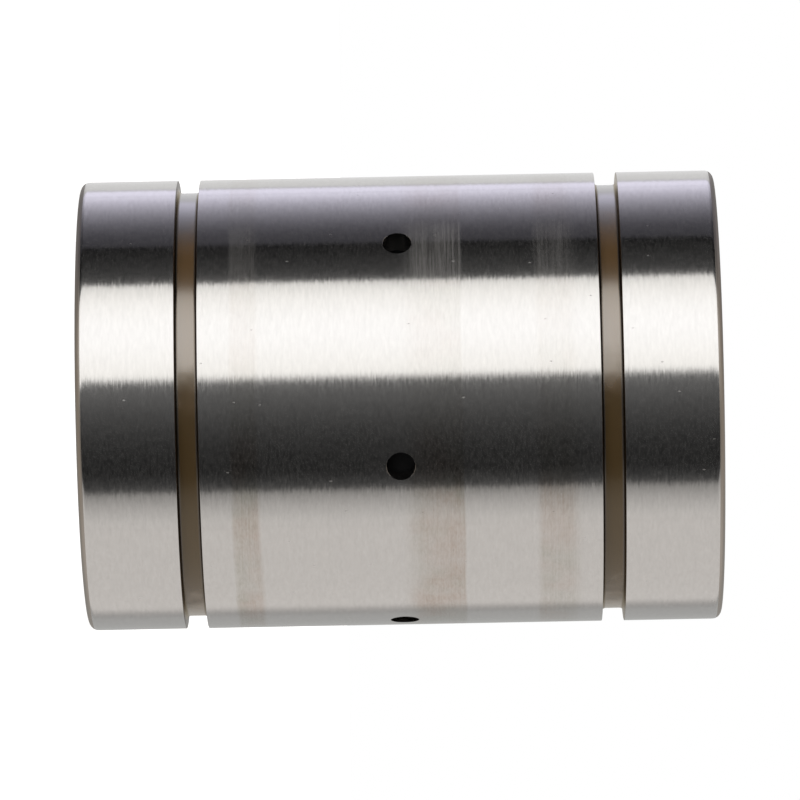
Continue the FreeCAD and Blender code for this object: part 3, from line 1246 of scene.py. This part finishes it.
@dataclass
class Studio:
    """Soft studio light, a pale floor and a white background."""

    front: float  # angle about the axis that the headings are counted from
    panels: tuple[LightPanel, ...] = (
        LightPanel("lower_back_wall", -181.0, -136.0, 1.0, 8.0, "#FDFDFB", 0.47, 0.52),
        LightPanel("card_edge", -66.0, -44.7, 1.0, 2.2, "#FFFCF8", 0.80, 0.30, 1.8),
        LightPanel("grey_card", -135.0, -63.0, 8.0, 5.0, "#FFFBF7", 0.84, 0.84),
        LightPanel("card_foot", -44.7, -36.0, 2.2, 3.0, "#FFFFFF", 0.07, 0.022),
        LightPanel("dark_front", -36.0, 12.0, 1.0, 1.0, "#FFFFFF", 0.022, 0.2, 2.2),
        LightPanel("softbox_rim", 12.3, 64.4, 2.4, 1.0, "#FFFEFB", 1.56, 1.12, 8.0),
        LightPanel("softbox", 24.0, 50.0, 12.0, 12.0, "#FFFFFF", 1.70, 1.70),
        LightPanel("dark_gap", 64.4, 89.0, 1.0, 1.0, "#FFFFFF", 0.105, 0.007, 0.5),
        LightPanel("violet_fade", 89.0, 136.0, 1.0, 1.0, "#EFEDFF", 0.072, 1.3, 2.12),
        LightPanel("violet_rim", 136.0, 145.5, 1.0, 3.0, "#EFEDFF", 1.3, 1.36),
        LightPanel("upper_back_wall", 145.5, 181.0, 3.0, 1.0, "#FFFFFF", 0.86, 0.80),
    )
    unlit_colour: Colour = (0.03, 0.03, 0.03, 1.0)  # linear light from between the panels
    ends_colour: str = "#8C857C"
    ends_level: float = 1.9
    ends_heights: Span = (50.0, 75.0)  # angles off the level where the light on the ends begins and is full
    shaded_from: float = 75.0  # heading past which the light thins out above and below
    shaded_heights: Span = (3.0, 24.0)  # angles off the level where it starts to and where it is thinnest
    shaded_level: float = 0.35
    floor_size: float = 2.4
    floor_glow: float = 0.88
    floor_colour: str = "#E8E8E8"
    floor_roughness: float = 0.9

    def build(self) -> None:
        """Sets up the light, the floor and how colours are shown."""
        scene = bpy.context.scene
        scene.view_settings.view_transform = "Standard"
        scene.world = self.surroundings()
        self.floor()

    def surroundings(self) -> bpy.types.World:
        """Makes the panels round the bearing as light from far away.

        Returns:
            A world that is plain white where the camera sees it.
        """
        world = bpy.data.worlds.new("studio_panels")
        world.use_nodes = True
        tree = world.node_tree
        tree.nodes.clear()
        direction = add_node(tree, "TexCoord").outputs["Generated"]
        parts = add_node(tree, "SeparateXYZ", (direction,))
        angle = add_node(tree, "Math", (parts.outputs["Y"], parts.outputs["X"]), operation="ARCTAN2")
        turned_back = add_node(tree, "Math", (math.radians(self.front), angle), operation="SUBTRACT")
        wrapped = add_node(tree, "Math", (turned_back, math.pi, -math.pi), operation="WRAP")
        heading = add_node(tree, "Math", (wrapped,), operation="DEGREES")
        off_level = add_node(tree, "Math", (parts.outputs["Z"],), operation="ABSOLUTE")

        thinning = (off_level, *sines(self.shaded_heights), 1.0, self.shaded_level)
        thin = add_node(tree, "MapRange", thinning, **SMOOTH)
        past = add_node(tree, "Math", (heading, self.shaded_from), operation="GREATER_THAN")
        dimmed = add_node(tree, "Mix", {"Factor": past, "A": 1.0, "B": thin}, data_type="FLOAT")
        panels = self.panel_light(tree, heading)
        light = add_node(tree, "VectorMath", {0: panels, "Scale": dimmed}, operation="SCALE")

        red, green, blue, alpha = linear(self.ends_colour)
        ends = (red * self.ends_level, green * self.ends_level, blue * self.ends_level, alpha)
        to_ends = add_node(tree, "MapRange", (off_level, *sines(self.ends_heights)), **SMOOTH)
        lit = add_node(tree, "Mix", {"Factor": to_ends, "A": light, "B": ends}, data_type="RGBA")
        seen = add_node(tree, "LightPath").outputs["Is Camera Ray"]
        shown = add_node(tree, "Mix", {"Factor": seen, "A": lit, "B": WHITE}, data_type="RGBA")
        background = add_node(tree, "Background", {"Color": shown, "Strength": 1.0})
        add_node(tree, "OutputWorld", {"Surface": background})
        return world

    def panel_light(self, tree: Tree, heading: Source) -> Source:
        """Lays the panels over each other by heading.

        Args:
            tree: The world's nodes.
            heading: The heading of a direction.

        Returns:
            The light from that direction.
        """
        light: Source = self.unlit_colour
        for panel in self.panels:
            start = about(panel.start, panel.start_blur)
            end = about(panel.end, panel.end_blur)
            rise = add_node(tree, "MapRange", (heading, *start), **SMOOTH)
            fall = add_node(tree, "MapRange", (heading, *end, 1.0, 0.0), **SMOOTH)
            cover = add_node(tree, "Math", (rise, fall), operation="MULTIPLY")
            across = add_node(tree, "MapRange", (heading, panel.start, panel.end))
            bent = add_node(tree, "Math", (across, panel.curve), operation="POWER")
            level = add_node(tree, "MapRange", (bent, 0.0, 1.0, panel.start_level, panel.end_level))
            tone = {0: linear(panel.colour)[:3], "Scale": level}
            shade = add_node(tree, "VectorMath", tone, operation="SCALE", label=panel.name)
            light = add_node(tree, "Mix", {"Factor": cover, "A": light, "B": shade}, data_type="RGBA")
        return light

    def floor(self) -> None:
        """Lays a pale floor that glows a little, so that it stays as light as the background."""
        bpy.ops.object.select_all(action="DESELECT")
        bpy.ops.mesh.primitive_plane_add(size=self.floor_size, location=(0, 0, 0))
        floor = bpy.context.object
        floor.name = "studio_floor"
        material, tree = new_material("white_studio_paper")
        surface = add_node(tree, "BsdfPrincipled", {
            "Base Color": linear(self.floor_colour), "Roughness": self.floor_roughness,
            "Specular IOR Level": 0.0, "Emission Color": WHITE, "Emission Strength": self.floor_glow})
        add_node(tree, "OutputMaterial", {"Surface": surface})
        floor.data.materials.append(material)
        floor.visible_glossy = False


@dataclass
class PictureCamera:
    """A long-lens camera beside the bearing, turned so that the axis lies across its picture."""

    heading: float
    middle: float  # height of the bearing's mid-length
    look_drop: float = 0.085 * MM  # how far below mid-length it looks
    look_aside: float = 0.032 * MM  # how far beside the axis it looks, towards the top of the picture
    distance: float = 0.505
    lens_mm: float = 318.0
    sensor_mm: float = 36.0
    rise: float = 3.5 * MM  # how far it stands above the height that it looks at
    tilt: float = 1.11  # how far the picture is turned, so that the upper end of the bearing sits higher

    def build(self) -> bpy.types.Object:
        """Places the camera and makes it the scene's own.

        Returns:
            The camera.
        """
        bpy.ops.object.camera_add()
        camera = bpy.context.object
        camera.name = "picture_camera"
        camera.data.lens = self.lens_mm
        camera.data.sensor_width = self.sensor_mm
        look_height = self.middle - self.look_drop
        aim = Vector((0, 0, look_height))
        place = polar(self.distance, self.heading, look_height + self.rise)
        back = (place - aim).normalized()
        sideways = Vector((0, 0, 1)).cross(back).normalized()
        along = back.cross(sideways)
        # The axis runs to the right of the picture, and the tilt turns it up by a little.
        turn = math.radians(self.tilt)
        right = along * math.cos(turn) + sideways * math.sin(turn)
        top = along * math.sin(turn) - sideways * math.cos(turn)
        rows = [(right[i], top[i], back[i], place[i]) for i in range(3)]
        camera.matrix_world = Matrix.Translation(-sideways * self.look_aside) @ Matrix(rows + [(0, 0, 0, 1)])
        bpy.context.scene.camera = camera
        return camera


def main() -> None:
    """Builds the bearing's looks around its frame and reports each piece."""
    logging.basicConfig(level=logging.INFO, format="%(name)s: %(message)s")
    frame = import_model()

    sleeve_low, sleeve_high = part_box("outer_sleeve")
    sleeve = Sleeve(radius=(sleeve_high.x - sleeve_low.x) / 2, length=sleeve_high.z - sleeve_low.z)
    sleeve_body = sleeve.build()
    sleeve.dress(sleeve_body)
    seal = LipSeal()
    lower_seal = seal.build()
    seal.dress(lower_seal)
    upper_seal = turned_over(lower_seal, "upper_lip_seal", sleeve.middle)
    for piece, node, slot in (
        (sleeve_body, "outer_sleeve", Slot.GROUND_STEEL),
        (lower_seal, "lower_seal", Slot.SEAL_RUBBER),
        (upper_seal, "upper_seal", Slot.SEAL_RUBBER),
    ):
        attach(piece, "bearing")
        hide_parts(node)
        log.info("%s: %d faces", piece.name, len(piece.data.polygons))

    for name in InnerParts(frame).dress():
        log.info("%s: dressed", name)

    Studio(FRONT).build()
    PictureCamera(FRONT, sleeve.middle).build()


if __name__ == "__main__":
    main()
